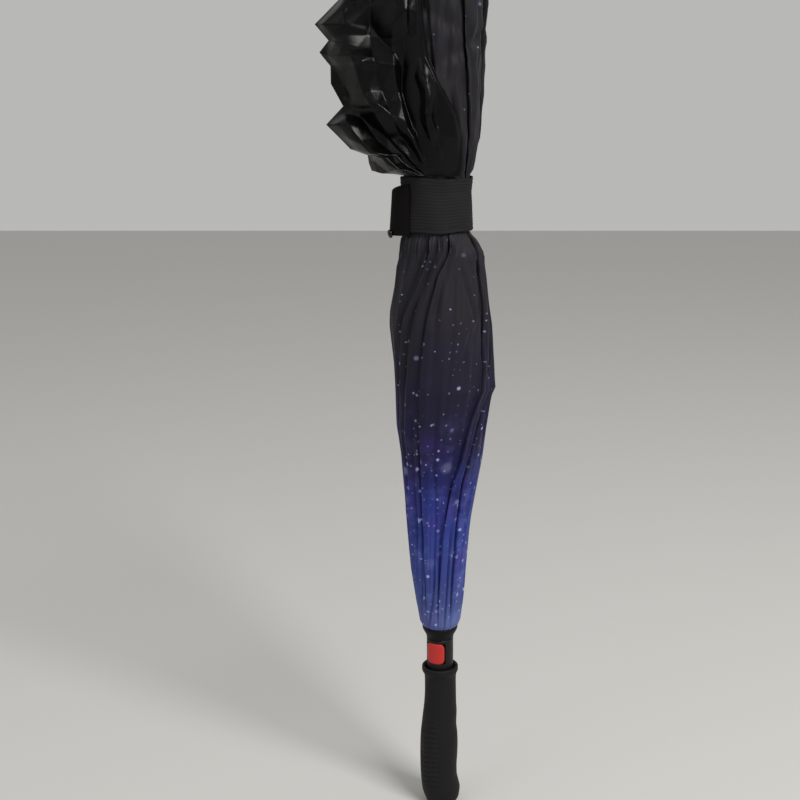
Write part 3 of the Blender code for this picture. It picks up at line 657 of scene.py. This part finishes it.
def folded_gore(name, i, cut, materials, arm, joint, near):
    """One gore of a layer: a fan of folds from each arm out to the bundle's surface, and the
    stretch between them that shows. Opening it unfolds the fans."""
    azimuth0 = FIRST + STEP * i
    folds, across = cut["folds"], cut["across"]
    hidden = np.arange(0.0, folds, 0.5)
    side = np.concatenate([-np.ones(len(hidden)), np.zeros(across + 1), np.ones(len(hidden))])
    progress = np.concatenate([hidden, np.full(across + 1, float(folds)), hidden[::-1]])
    over = np.concatenate([np.zeros(len(hidden)), np.linspace(0, 1, across + 1), np.ones(len(hidden))])
    share = np.linspace(0.0, 1.0, cut["rows"])[:, None]
    start, reach, height = cut["start"], cut["reach"], cut["height"]

    s_mid = start + (reach * 0.955 - start) * share
    z_mid = height(s_mid)
    inner = cut["inner"](z_mid)
    outer = cut["outer"](azimuth0 + STEP / 2, z_mid, np.full_like(z_mid, 0.5))
    width = cut["width"](s_mid)
    shown = outer * math.radians(STEP)
    half = STEP / 2.0 - 1.6
    spare = width - shown - 2.0 * (outer - inner)
    sway = spare / (2 * folds * math.radians(half) * (inner + outer) / 2.0)
    sway = np.clip(sway, 0.03, 1.0) * half * (fold_wave(progress / 2.0 + 0.5) + 1.0) / 2.0
    out = np.where(side == 0, 1.0, np.minimum(progress / folds, 0.97))
    rest = np.where(side == 0, -1.0 + (STEP + 2.0) * over,
                    np.where(side < 0, 1.0 + sway, STEP - 1.0 - sway))
    swirl = valley(i, z_mid) + (valley(i + 1, z_mid) - valley(i, z_mid)) * over
    azimuth = azimuth0 + rest + swirl * out * cut["swirl"]

    # each column's place on the cut, from the lengths between the columns
    radius = inner + (outer - inner) * out
    steps = np.hypot(np.diff(np.radians(azimuth) * radius, axis=1), np.diff(radius, axis=1))
    middle = (side[:-1] == 0) & (side[1:] == 0)
    open_part = np.minimum((steps * middle).sum(axis=1, keepdims=True), width * 0.9)
    steps = np.where(
        middle,
        steps * open_part / np.maximum((steps * middle).sum(axis=1, keepdims=True), 1e-6),
        steps * (width - open_part) / np.maximum((steps * ~middle).sum(axis=1, keepdims=True), 1e-6),
    )
    u = np.concatenate([np.zeros((len(share), 1)), np.cumsum(steps, axis=1)], axis=1)
    u = u / u[:, -1:]
    hem = reach
    if cut["straight_hem"]:
        hem = reach * math.cos(math.radians(STEP / 2)) / np.cos(np.radians((u - 0.5) * STEP))
    s = np.broadcast_to(start + (hem - start) * share, azimuth.shape)
    z = height(s)
    near_arm = cut["inner"](z)
    tuck = np.where(side == 0, 0.0, np.where(side < 0, -0.0008, -0.0026)) * out
    surface = cut["outer"](azimuth, z, np.broadcast_to(over, z.shape))
    surface = np.where(side == 0, surface, np.minimum(surface, under_creases(azimuth, z)))
    radius = np.where(side == 0, surface, near_arm + (surface - near_arm) * out + tuck)
    radius = np.maximum(radius, near_arm) - cut["behind"] * (1.0 - 0.72 * out)
    points = polar(radius, azimuth, z)
    flat = np.stack([(u - 0.5) * width + reach * i, s], axis=-1)
    seam = np.stack([np.minimum(u, 1.0 - u) * width, hem - s], axis=-1)
    made = grid_object(name, points, materials, flat, seam, CLOTH_T, back=len(materials) - 1)
    weights = solve_weights(points, u * STEP, azimuth0, near, joint)
    weights[:, 0] = 0.0
    weights[:, -1] = 1.0
    cloth_blend(made, arm, joint.replace("_unfold", ""), weights)
    wide = cut["width"](reach)
    area = (cut["width"](start) + wide) / 2.0 * (reach - start)
    area *= 0.97 if cut["straight_hem"] else 1.0
    return made


def along_rib(s):
    return RUNNER_Z + s * math.cos(RIB_LEAN)


def along_stretcher(s):
    return NOTCH_Z - s * math.cos(STRETCHER_LEAN)


ROWS = 170
PRINT_CUT = {
    "folds": 18, "across": 46, "rows": ROWS, "start": 0.006, "reach": RIB,
    "height": along_rib, "inner": print_inner, "outer": bundle_surface, "width": gore_width,
    "swirl": 1.0, "straight_hem": True, "behind": 0.0,
}
# the lining lies behind the print, fold for fold
LINING_CUT = dict(PRINT_CUT, rows=ROWS // 2, start=0.279, reach=RIB - 0.002, behind=0.0037,
                  outer=lining_outer)
CROWN_CUT = {
    "folds": 12, "across": 10, "rows": ROWS // 2, "start": 0.006, "reach": CROWN_REACH,
    "height": along_stretcher, "inner": crown_inner, "outer": crown_outer, "width": crown_width,
    "swirl": 0.0, "straight_hem": False, "behind": 0.0,
}

for index in range(GORES):
    number = index + 1
    printed = folded_gore(
        f"printed_gore_{number}", index, PRINT_CUT, (PRINTED, BLACK), f"rib_{number}",
        f"gore_{number}_unfold", rib_open(index),
    )
    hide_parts(f"gore_{number}")
    lining = folded_gore(
        f"lining_gore_{number}", index, LINING_CUT, (LINING,), f"rib_{number}",
        f"gore_{number}_unfold", rib_open(index),
    )
    crown = folded_gore(
        f"crown_lining_{number}", index, CROWN_CUT, (LINING,), f"stretcher_{number}",
        f"crown_{number}_unfold", stretcher_open(index),
    )
    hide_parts(f"crown_gore_{number}")


def make_hub_gather():
    """The gathered middle of the print, tied round the hub below the ribs."""
    columns, rows = ((360, 16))
    azimuth = np.linspace(0.0, 360.0, columns, endpoint=False)[None, :]
    z = np.linspace(0.1612, 0.1815, rows)[:, None]
    edges = np.array([FIRST + STEP * b + valley(b, z[:, 0]) for b in range(GORES)])
    over = np.zeros((rows, columns))
    for b in range(GORES):
        far = edges[(b + 1) % GORES] + (360.0 if b == GORES - 1 else 0.0)
        part = ((azimuth - edges[b][:, None]) % 360.0) / (far - edges[b])[:, None]
        over = np.where(part < 1.0, part, over)
    tuck = 0.0002 + 0.0012 * smooth((0.1640 - z) / 0.003)
    radius = bundle_surface(azimuth, z, over) - tuck
    flat = stacked(np.radians(azimuth) * 0.0165, z - RUNNER_Z)
    seam = np.full(flat.shape, 0.05)
    made = grid_object("hub_gather", polar(radius, azimuth, z), (PRINTED, BLACK), flat, seam,
                       CLOTH_T, close_u=True, back=1)
    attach(made, "runner")
    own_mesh(made)
    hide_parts("hub_rosette")


make_hub_gather()

# ------------------------------------------------------------------ the loose rim
# outline of the flopped rim from its bottom up: (left, height) millimetres
FLOP_EDGE = np.array((
    (-31, 528), (-52, 531), (-54, 536), (-55, 543), (-68, 547), (-86, 565), (-73, 579), (-82, 595),
    (-82, 608), (-90, 618), (-83, 626), (-93, 638), (-74, 656), (-78, 668), (-66, 684), (-58, 700),
))
FLOP_DEPTH = 26.0
# where the flop leaves the bundle at the front: (height, right) millimetres
FLOP_ROOT = np.array((
    (527, 15), (540, 16), (556, 16), (571, 13), (584, 6), (600, -2), (612, -8), (640, -12), (700, -14),
))
PINCH = (2.0, 520.0)         # the folds fan out from here


def flop_side(front):
    """One side of the flop, from the bundle's surface out to its edge, metres."""
    columns, per_row = ((130, 14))
    rows = (len(FLOP_EDGE) - 1) * per_row + 1
    v = np.linspace(0.0, len(FLOP_EDGE) - 1.0, rows)[:, None]
    q = np.linspace(0.0, 1.0, columns)[None, :]
    marks = np.arange(len(FLOP_EDGE))
    edge_x = np.interp(v, marks, FLOP_EDGE[:, 0])
    edge_z = np.interp(v, marks, FLOP_EDGE[:, 1])
    share = v / (len(FLOP_EDGE) - 1.0)
    root_z = 527.6 + (edge_z - 528.0) * (0.61 + 0.36 * share)
    root_x = np.interp(root_z, FLOP_ROOT[:, 0], FLOP_ROOT[:, 1]) if front else np.full_like(share, -22.0)
    x = root_x + (edge_x - root_x) * q
    z = root_z + (edge_z - root_z) * q ** 0.85
    left, right = bundle_radius(180.0, z / 1000.0) * 1000.0, bundle_radius(0.0, z / 1000.0) * 1000.0
    turned = 0.5 + 0.5 * np.clip(x / 27.0, -1.0, 1.0)
    bundle = left + (right - left) * turned + 0.5 + 1.4 * smooth((z - 526.0) / 8.0)
    held = np.sqrt(np.maximum(bundle ** 2 - np.minimum(np.abs(x), bundle * 0.97) ** 2, 0.0))
    past = np.clip((-x - 22.0) / np.maximum(-edge_x - 22.0, 4.0), 0.0, 1.0)
    pocket = FLOP_DEPTH * (1.0 - past ** 2.2)
    depth = np.where(x < -22.0, pocket, np.maximum(held, pocket))
    # folds fan out from where the strap pinches the cloth
    away = np.hypot(x - PINCH[0], z - PINCH[1])
    fan = np.degrees(np.arctan2(z - PINCH[1], PINCH[0] - x)) / 90.0
    phase = 0.0 if front else 0.37
    bend = 0.10 * fold_wave(away / 62.0 + 1.3 * fan + phase)
    folds = 6.5 * fold_wave(3.1 * fan + bend + phase + 0.15)
    folds += 3.2 * fold_wave(5.3 * fan - away / 95.0 + 2.0 * phase)
    folds += 2.4 * fold_wave(away / 46.0 + 2.2 * fan + 0.3 + phase)
    folds += 0.8 * fold_wave(away / 23.0 - 4.1 * fan + phase)
    loose = smooth(q / 0.22) * smooth((away - 6.0) / 50.0) * (1.0 - smooth((q - 0.90) / 0.10) * 0.8)
    over_bundle = held + 2.0 * smooth(q / 0.05) * smooth((z - 526.0) / 8.0)
    clear = np.where(np.abs(x) < bundle * 0.97, over_bundle, 0.0)
    depth = np.maximum(depth + (folds + 3.0) * loose, clear)
    depth = depth - 0.8 * (1.0 - smooth(q / 0.03))
    y = -depth if front else depth * 0.8
    hang = 1.6 * fold_wave(1.3 * q + 0.37 * v + phase) * loose
    return np.stack([x, y, z + hang], axis=-1) / 1000.0


def make_flop():
    front, back = flop_side(True), flop_side(False)
    points = np.concatenate([front, back[:, -2::-1]], axis=1)
    steps = np.linalg.norm(np.diff(points, axis=1), axis=2).cumsum(axis=1)
    along = np.concatenate([np.zeros((len(points), 1)), steps], axis=1)
    rise = np.linalg.norm(np.diff(points, axis=0), axis=2).mean(axis=1).cumsum()
    up = np.concatenate([[0.0], rise])[:, None]
    flat = stacked(along, up)
    seam = stacked(np.full_like(along, 0.05), up)
    made = grid_object("flopped_rim", points, (LINING,), flat, seam, CLOTH_T)
    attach(made, "gore_4")
    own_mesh(made)
    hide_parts("rim_flop")


make_flop()


# ------------------------------------------------------------------ the strap
STRAP_RIBS = 17.0
STITCHES = 62                # in each of the two rows


def strap_radius(azimuth, z):
    return bundle_radius(azimuth, np.clip(z, 0.487, 0.524)) + 0.0020


def strap_low(azimuth):
    """The band's lower edge: a little lower at the left, where its free end pulls on it."""
    return STRAP_LOW + 0.0012 * np.cos(np.radians(azimuth)) - 0.0006 * np.sin(np.radians(azimuth))


def seam_stitches(name, centres, along, out, material):
    """Short raised stitches, each a small rounded ridge."""
    long, wide, tall = 0.0019, 0.00042, 0.00030
    ring = [(-1.0, 0.0), (-0.6, 0.8), (0.6, 0.8), (1.0, 0.0), (0.6, -0.8), (-0.6, -0.8)]
    points, faces = [], []
    for centre, run, up in zip(centres, along, out):
        side = np.cross(up, run)
        base = len(points)
        for scale, lift in ((1.0, -0.4), (1.0, 0.25), (0.62, 1.0)):
            for a, b in ring:
                p = centre + run * (a * scale * long / 2) + side * (b * scale * wide / 2)
                points.append(p + up * (lift * tall))
        for level in (0, 6):
            for k in range(6):
                n = (k + 1) % 6
                a, b = base + level + k, base + level + n
                faces.append((a, b, b + 6, a + 6))
        faces.append(tuple(base + 12 + k for k in range(6)))
        faces.append(tuple(base + 5 - k for k in range(6)))
    mesh = bpy.data.meshes.new(name)
    mesh.from_pydata([tuple(p) for p in points], [], faces)
    mesh.materials.append(material)
    made = finish_mesh(name, mesh)
    strap_piece(made)
    return made


def strap_piece(made):
    """Strap pieces are sewn to the left gore and move with it when the umbrella opens."""
    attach(made, "gore_4")
    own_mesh(made)


def make_strap():
    columns, rows = ((300, 80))
    azimuth = np.linspace(0.0, 360.0, columns, endpoint=False)[None, :]
    part = np.linspace(0.0, 1.0, rows)[:, None]
    sag = 0.0006 * np.sin(np.radians(2.0 * azimuth + 40.0)) + 0.0004 * np.sin(np.radians(5.0 * azimuth))
    low = strap_low(azimuth)
    z = low + (STRAP_HIGH - low) * part + sag
    ribs = 0.00012 * np.sin(2.0 * np.pi * part * STRAP_RIBS) * np.ones_like(azimuth)
    selvedge = 0.00018 * (smooth((0.05 - part) / 0.03) + smooth((part - 0.95) / 0.03))
    wave = 0.00035 * np.sin(np.radians(7.0 * azimuth)) * np.sin(np.pi * part * 2.0 + 0.5)
    radius = strap_radius(azimuth, z) + ribs + selvedge + wave
    flat = stacked(np.radians(azimuth) * 0.0275, z)
    made = grid_object("strap_band_webbing", polar(radius, azimuth, z), (WEBBING,), flat,
                       thickness=0.0011, close_u=True)
    strap_piece(made)
    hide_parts("strap_band")
    turns = np.linspace(0.0, 360.0, STITCHES, endpoint=False)
    centres, runs, outs = [], [], []
    for low_row in (True, False):
        for turn in turns:
            a = math.radians(turn)
            level = float(strap_low(turn)) + 0.0042 if low_row else STRAP_HIGH - 0.0042
            up = np.array((math.cos(a), math.sin(a), 0.0))
            centres.append(up * (float(strap_radius(turn, level)) + 0.0007) + np.array((0, 0, level)))
            runs.append(np.array((-math.sin(a), math.cos(a), 0.0)))
            outs.append(up)
    seam_stitches("strap_stitching", centres, runs, outs, THREAD)


def make_tail():
    """The strap's free end: it leaves the band at the left front and curls back on itself."""
    marks = np.array((
        (-23.0, -19.6), (-26.2, -18.0), (-29.2, -16.2), (-32.0, -13.8), (-34.4, -10.8),
        (-36.2, -7.4), (-37.2, -3.6), (-37.4, 0.5),
    ))
    columns, rows = ((70, 60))
    t = np.linspace(0.0, len(marks) - 1.0, columns)
    x = np.interp(t, np.arange(len(marks)), marks[:, 0])
    y = np.interp(t, np.arange(len(marks)), marks[:, 1])
    kernel = np.ones(9) / 9.0
    x = np.convolve(np.pad(x, 4, mode="edge"), kernel, mode="valid")[None, :]
    y = np.convolve(np.pad(y, 4, mode="edge"), kernel, mode="valid")[None, :]
    part = np.linspace(0.0, 1.0, rows)[:, None]
    q = np.linspace(0.0, 1.0, columns)[None, :]
    low, high = 483.0 - 0.8 * q, 521.5 - 1.5 * q - 6.0 * q ** 2
    z = low + (high - low) * part
    lean = 1.2 * q * (0.5 - part) * 2.0
    ribs = 0.10 * np.sin(2.0 * np.pi * part * STRAP_RIBS)
    points = stacked(x - lean, y - ribs, z) / 1000.0
    flat = stacked(q * 0.030, z / 1000.0)
    # the free end takes the darker copy of the webbing: painted shade on the side turned away from the light
    made = grid_object("strap_tail_webbing", points, (SHADED_WEBBING,), flat, thickness=0.0013)
    strap_piece(made)
    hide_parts("strap_tail")


def make_stud():
    """Domed press stud with a rolled rim, near the lower corner of the strap's free end."""
    centre = np.array((-0.0376, -0.0085, 0.4838))
    out = np.array((-0.86, -0.46, -0.20))
    out = out / np.linalg.norm(out)
    side = np.cross((0.0, 0.0, 1.0), out)
    side = side / np.linalg.norm(side)
    up = np.cross(out, side)
    profile = np.array((
        (0.2, 3.2), (0.9, 3.3), (1.3, 3.1), (1.4, 2.7), (1.2, 2.35), (1.35, 2.0), (1.9, 1.5),
        (2.2, 0.8), (2.25, 0.15),
    ))
    turns = np.linspace(0.0, 2.0 * np.pi, 48, endpoint=False)
    loops = np.array([
        [centre + out * d / 1000 + (side * math.cos(a) + up * math.sin(a)) * r / 1000 for a in turns]
        for d, r in profile
    ])
    made = closed_loft("press_stud", loops, STUD)
    strap_piece(made)
    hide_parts("strap_stud")


make_strap()
make_tail()
make_stud()

# ------------------------------------------------------------------ the handle
# (height, left radius, right radius) of the rubber grip, millimetres
GRIP = np.array((
    (0.0, 8.8, 10.2), (0.9, 10.8, 13.0), (3.0, 11.9, 15.0), (6.4, 13.3, 16.2), (12.6, 15.1, 16.9),
    (19.0, 15.9, 15.6), (26.0, 16.4, 14.3), (34.0, 16.7, 14.2), (43.0, 16.8, 14.7),
    (53.0, 16.7, 15.0), (63.0, 16.3, 14.7), (72.4, 15.4, 13.8), (83.0, 14.2, 14.1),
    (92.6, 13.2, 13.6), (104.0, 12.7, 13.4), (112.0, 12.7, 13.3), (117.5, 13.2, 13.6),
    (119.6, 14.4, 14.4), (121.2, 15.0, 15.0), (124.2, 15.0, 15.0), (125.0, 14.4, 14.4),
))
PANEL_Z0, PANEL_Z1, PANEL_RIDGES = 20.0, 81.6, 14
PANEL_AZ0, PANEL_AZ1 = 209.0, 269.0


def rounded(heights, values, z):
    """A curve through the table without corners or overshoot."""
    slopes = np.diff(values) / np.diff(heights)
    tangents = np.zeros(len(values))
    same = slopes[:-1] * slopes[1:] > 0
    tangents[1:-1] = np.where(same, 2 * slopes[:-1] * slopes[1:] / (slopes[:-1] + slopes[1:] + 1e-12), 0)
    tangents[0], tangents[-1] = slopes[0], slopes[-1]
    k = np.clip(np.searchsorted(heights, z, side="right") - 1, 0, len(heights) - 2)
    step = heights[k + 1] - heights[k]
    t = (z - heights[k]) / step
    a, b = (1 + 2 * t) * (1 - t) ** 2, t * (1 - t) ** 2
    c, d = t * t * (3 - 2 * t), t * t * (t - 1)
    return a * values[k] + b * step * tangents[k] + c * values[k + 1] + d * step * tangents[k + 1]


def grip_radius(azimuth, z):
    left = rounded(GRIP[:, 0], GRIP[:, 1], z)
    right = rounded(GRIP[:, 0], GRIP[:, 2], z)
    return left + (right - left) * (1.0 + np.cos(np.radians(azimuth))) / 2.0


def make_grip():
    """The rubber grip with the pocket that the ridged panel sits in."""
    columns, rows = ((300, 320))
    azimuth = np.linspace(0.0, 360.0, columns, endpoint=False)[None, :]
    z = np.concatenate([np.linspace(0.0, 3.0, 14)[:-1], np.linspace(3.0, 116.0, rows),
                        np.linspace(116.0, 125.0, 40)[1:]])[:, None]
    radius = grip_radius(azimuth, z)
    half_az, half_z = (PANEL_AZ1 - PANEL_AZ0) / 2.0, (PANEL_Z1 - PANEL_Z0) / 2.0
    off_az = np.abs(azimuth - (PANEL_AZ0 + PANEL_AZ1) / 2.0) - half_az + 1.6
    off_z = np.abs(z - (PANEL_Z0 + PANEL_Z1) / 2.0) - half_z + 0.5
    inside = smooth(-off_az / 1.2) * smooth(-off_z / 0.4)
    radius = radius - 1.8 * inside
    wall = polar(radius, azimuth, z)
    bore = []
    for r, height in ((13.4, 124.9), (12.5, 124.0), (12.3, 120.0), (11.3, 120.0), (11.3, 95.0),
                      (6.3, 95.0), (6.3, 12.2)):
        bore.append(polar(r, azimuth[0], height))
    loops = np.concatenate([wall, np.array(bore)]) / 1000.0
    made = closed_loft("rubber_grip", loops, RUBBER)
    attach(made, "handle_and_shaft")
    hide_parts("grip")


def make_grip_panel():
    """Curved panel with rounded ridges that run round the grip and fade at their ends."""
    columns, rows = ((64, 336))
    azimuth = np.linspace(PANEL_AZ0, PANEL_AZ1, columns)[None, :]
    z = np.linspace(PANEL_Z0, PANEL_Z1, rows)[:, None]
    surface = grip_radius(azimuth, z)
    beat = (z - PANEL_Z0) / (PANEL_Z1 - PANEL_Z0) * PANEL_RIDGES
    arch = np.sin(np.pi * beat) ** 2
    ends = smooth((azimuth - PANEL_AZ0) / 9.0) * smooth((PANEL_AZ1 - azimuth) / 14.0)
    ends = ends * (0.35 + 0.65 * smooth((PANEL_Z1 - z) / 10.0))
    edge = smooth((azimuth - PANEL_AZ0) / 3.0) * smooth((PANEL_AZ1 - azimuth) / 3.0)
    edge = edge * smooth((z - PANEL_Z0) / 1.0) * smooth((PANEL_Z1 - z) / 1.0)
    outside = surface - 0.12 + 0.17 * edge + (0.70 * arch ** 0.8 - 0.12) * ends
    outer = polar(outside, azimuth, z)
    inner = polar(surface - 1.5, azimuth, z)
    loops = np.concatenate([inner[:, ::-1], outer], axis=1) / 1000.0
    made = closed_loft("ridged_panel", loops, RUBBER)
    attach(made, "handle_and_shaft")
    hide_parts("grip_panel")


def make_button():
    """Rounded square pad bent round the neck, with a soft edge and a shallow finger dish."""
    half_w, half_h, z0 = 8.05, 8.8, 138.6
    facing, back, edge, bend = -90.0 - 24.0, 8.6, 11.3, 11.8
    spokes, rings = 96, 26
    turns = np.linspace(0.0, 2.0 * np.pi, spokes, endpoint=False)
    power = 5.0
    size = (np.abs(np.cos(turns)) ** power + np.abs(np.sin(turns)) ** power) ** (-1.0 / power)
    outline = np.stack([half_w * size * np.cos(turns), half_h * size * np.sin(turns)], axis=-1)
    loops = []
    for shrink, radius in ((0.015, back), (0.35, back), (0.7, back), (1.0, back), (1.0, 10.6),
                           (1.0, edge)):
        loops.append((outline * shrink, radius))
    for k in range(1, rings):
        t = k / rings
        soft = edge + 0.5 * math.sin(min(1.0, t / 0.22) * math.pi / 2.0)
        dish = 0.16 * smooth((t - 0.35) / 0.6)
        loops.append((outline * (1.0 - 0.985 * t ** 1.15), soft - float(dish)))
    made_loops = []
    for flat, radius in loops:
        turn = np.radians(facing) + np.arcsin(np.clip(flat[:, 0] / bend, -1.0, 1.0))
        made_loops.append(np.stack([radius * np.cos(turn), radius * np.sin(turn), z0 + flat[:, 1]],
                                   axis=-1))
    made = closed_loft("red_push_button", np.array(made_loops) / 1000.0, RED)
    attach(made, "push_button")
    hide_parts("push_button")


make_grip()
make_grip_panel()
make_button()


# ------------------------------------------------------------------ pieces kept from the frame
def finish_node(name, material, bevel=0.00025):
    """The frame's own solid with rounded edges, smooth faces and a finished material."""
    part = frame["nodes"][name]
    part.data.materials.clear()
    part.data.materials.append(material)
    if part.data.attributes.get("custom_normal"):
        part.data.attributes.remove(part.data.attributes["custom_normal"])
    part.data.polygons.foreach_set("use_smooth", [True] * len(part.data.polygons))
    weld = part.modifiers.new("Weld", "WELD")
    weld.merge_threshold = 0.000002
    edge = part.modifiers.new("Edges", "BEVEL")
    edge.width = bevel
    edge.segments = 2
    edge.limit_method = "ANGLE"
    edge.angle_limit = math.radians(40.0)
    edge.harden_normals = False
    even = part.modifiers.new("Normals", "WEIGHTED_NORMAL")
    even.keep_sharp = True


for name in ("neck_housing", "runner_hub", "top_notch", "top_cap"):
    finish_node(name, PLASTIC)
finish_node("runner_collar", COLLAR)
finish_node("shaft_tube", STEEL)
finish_node("button_spring", STEEL, 0.00005)
for index in range(GORES):
    finish_node(f"rib_{index + 1}", RESIN)
    finish_node(f"rib_tip_{index + 1}", PLASTIC, 0.0003)
    finish_node(f"stretcher_{index + 1}", BLACK_STEEL, 0.0002)

# ------------------------------------------------------------------ stage
floor_mesh = bpy.data.meshes.new("floor")
floor_mesh.from_pydata([(-6, -6, 0), (6, -6, 0), (6, 6, 0), (-6, 6, 0)], [], [(0, 1, 2, 3)])
floor = add_object("floor", floor_mesh)
pale, _, _ = new_material("floor_pale", (0.60, 0.595, 0.58), 0.85)
floor_mesh.materials.append(pale)

world = bpy.data.worlds.new("world")
bpy.context.scene.world = world
world.use_nodes = True
world.node_tree.nodes["Background"].inputs["Color"].default_value = (0.93, 0.925, 0.90, 1.0)
world.node_tree.nodes["Background"].inputs["Strength"].default_value = 0.52


def area_light(name, place, aim, size, power, colour=(1.0, 1.0, 1.0)):
    lamp = bpy.data.lights.new(name, "AREA")
    lamp.shape = "RECTANGLE"
    lamp.size, lamp.size_y = size
    lamp.energy = power
    lamp.color = colour
    made = add_object(name, lamp)
    made.location = place
    made.rotation_mode = "QUATERNION"
    made.rotation_quaternion = (Vector(aim) - Vector(place)).to_track_quat("-Z", "Y")


area_light("key", (1.25, -1.45, 2.2), (0.0, 0.0, 0.45), (1.0, 1.0), 58.0, (1.0, 0.98, 0.95))
area_light("fill", (-1.5, -1.3, 1.3), (0.0, 0.0, 0.4), (1.2, 1.2), 4.0, (0.95, 0.97, 1.0))

camera = bpy.data.cameras.new("camera")
camera.lens = 54.36
camera.sensor_width = 36.0
camera.shift_x = -0.05
eye = add_object("camera", camera)
eye.location = (0.0, -0.9382, 0.5612)
eye.rotation_euler = (math.radians(90.0 - 12.6), 0.0, 0.0)
bpy.context.scene.camera = eye
bpy.context.scene.view_settings.view_transform = "Standard"
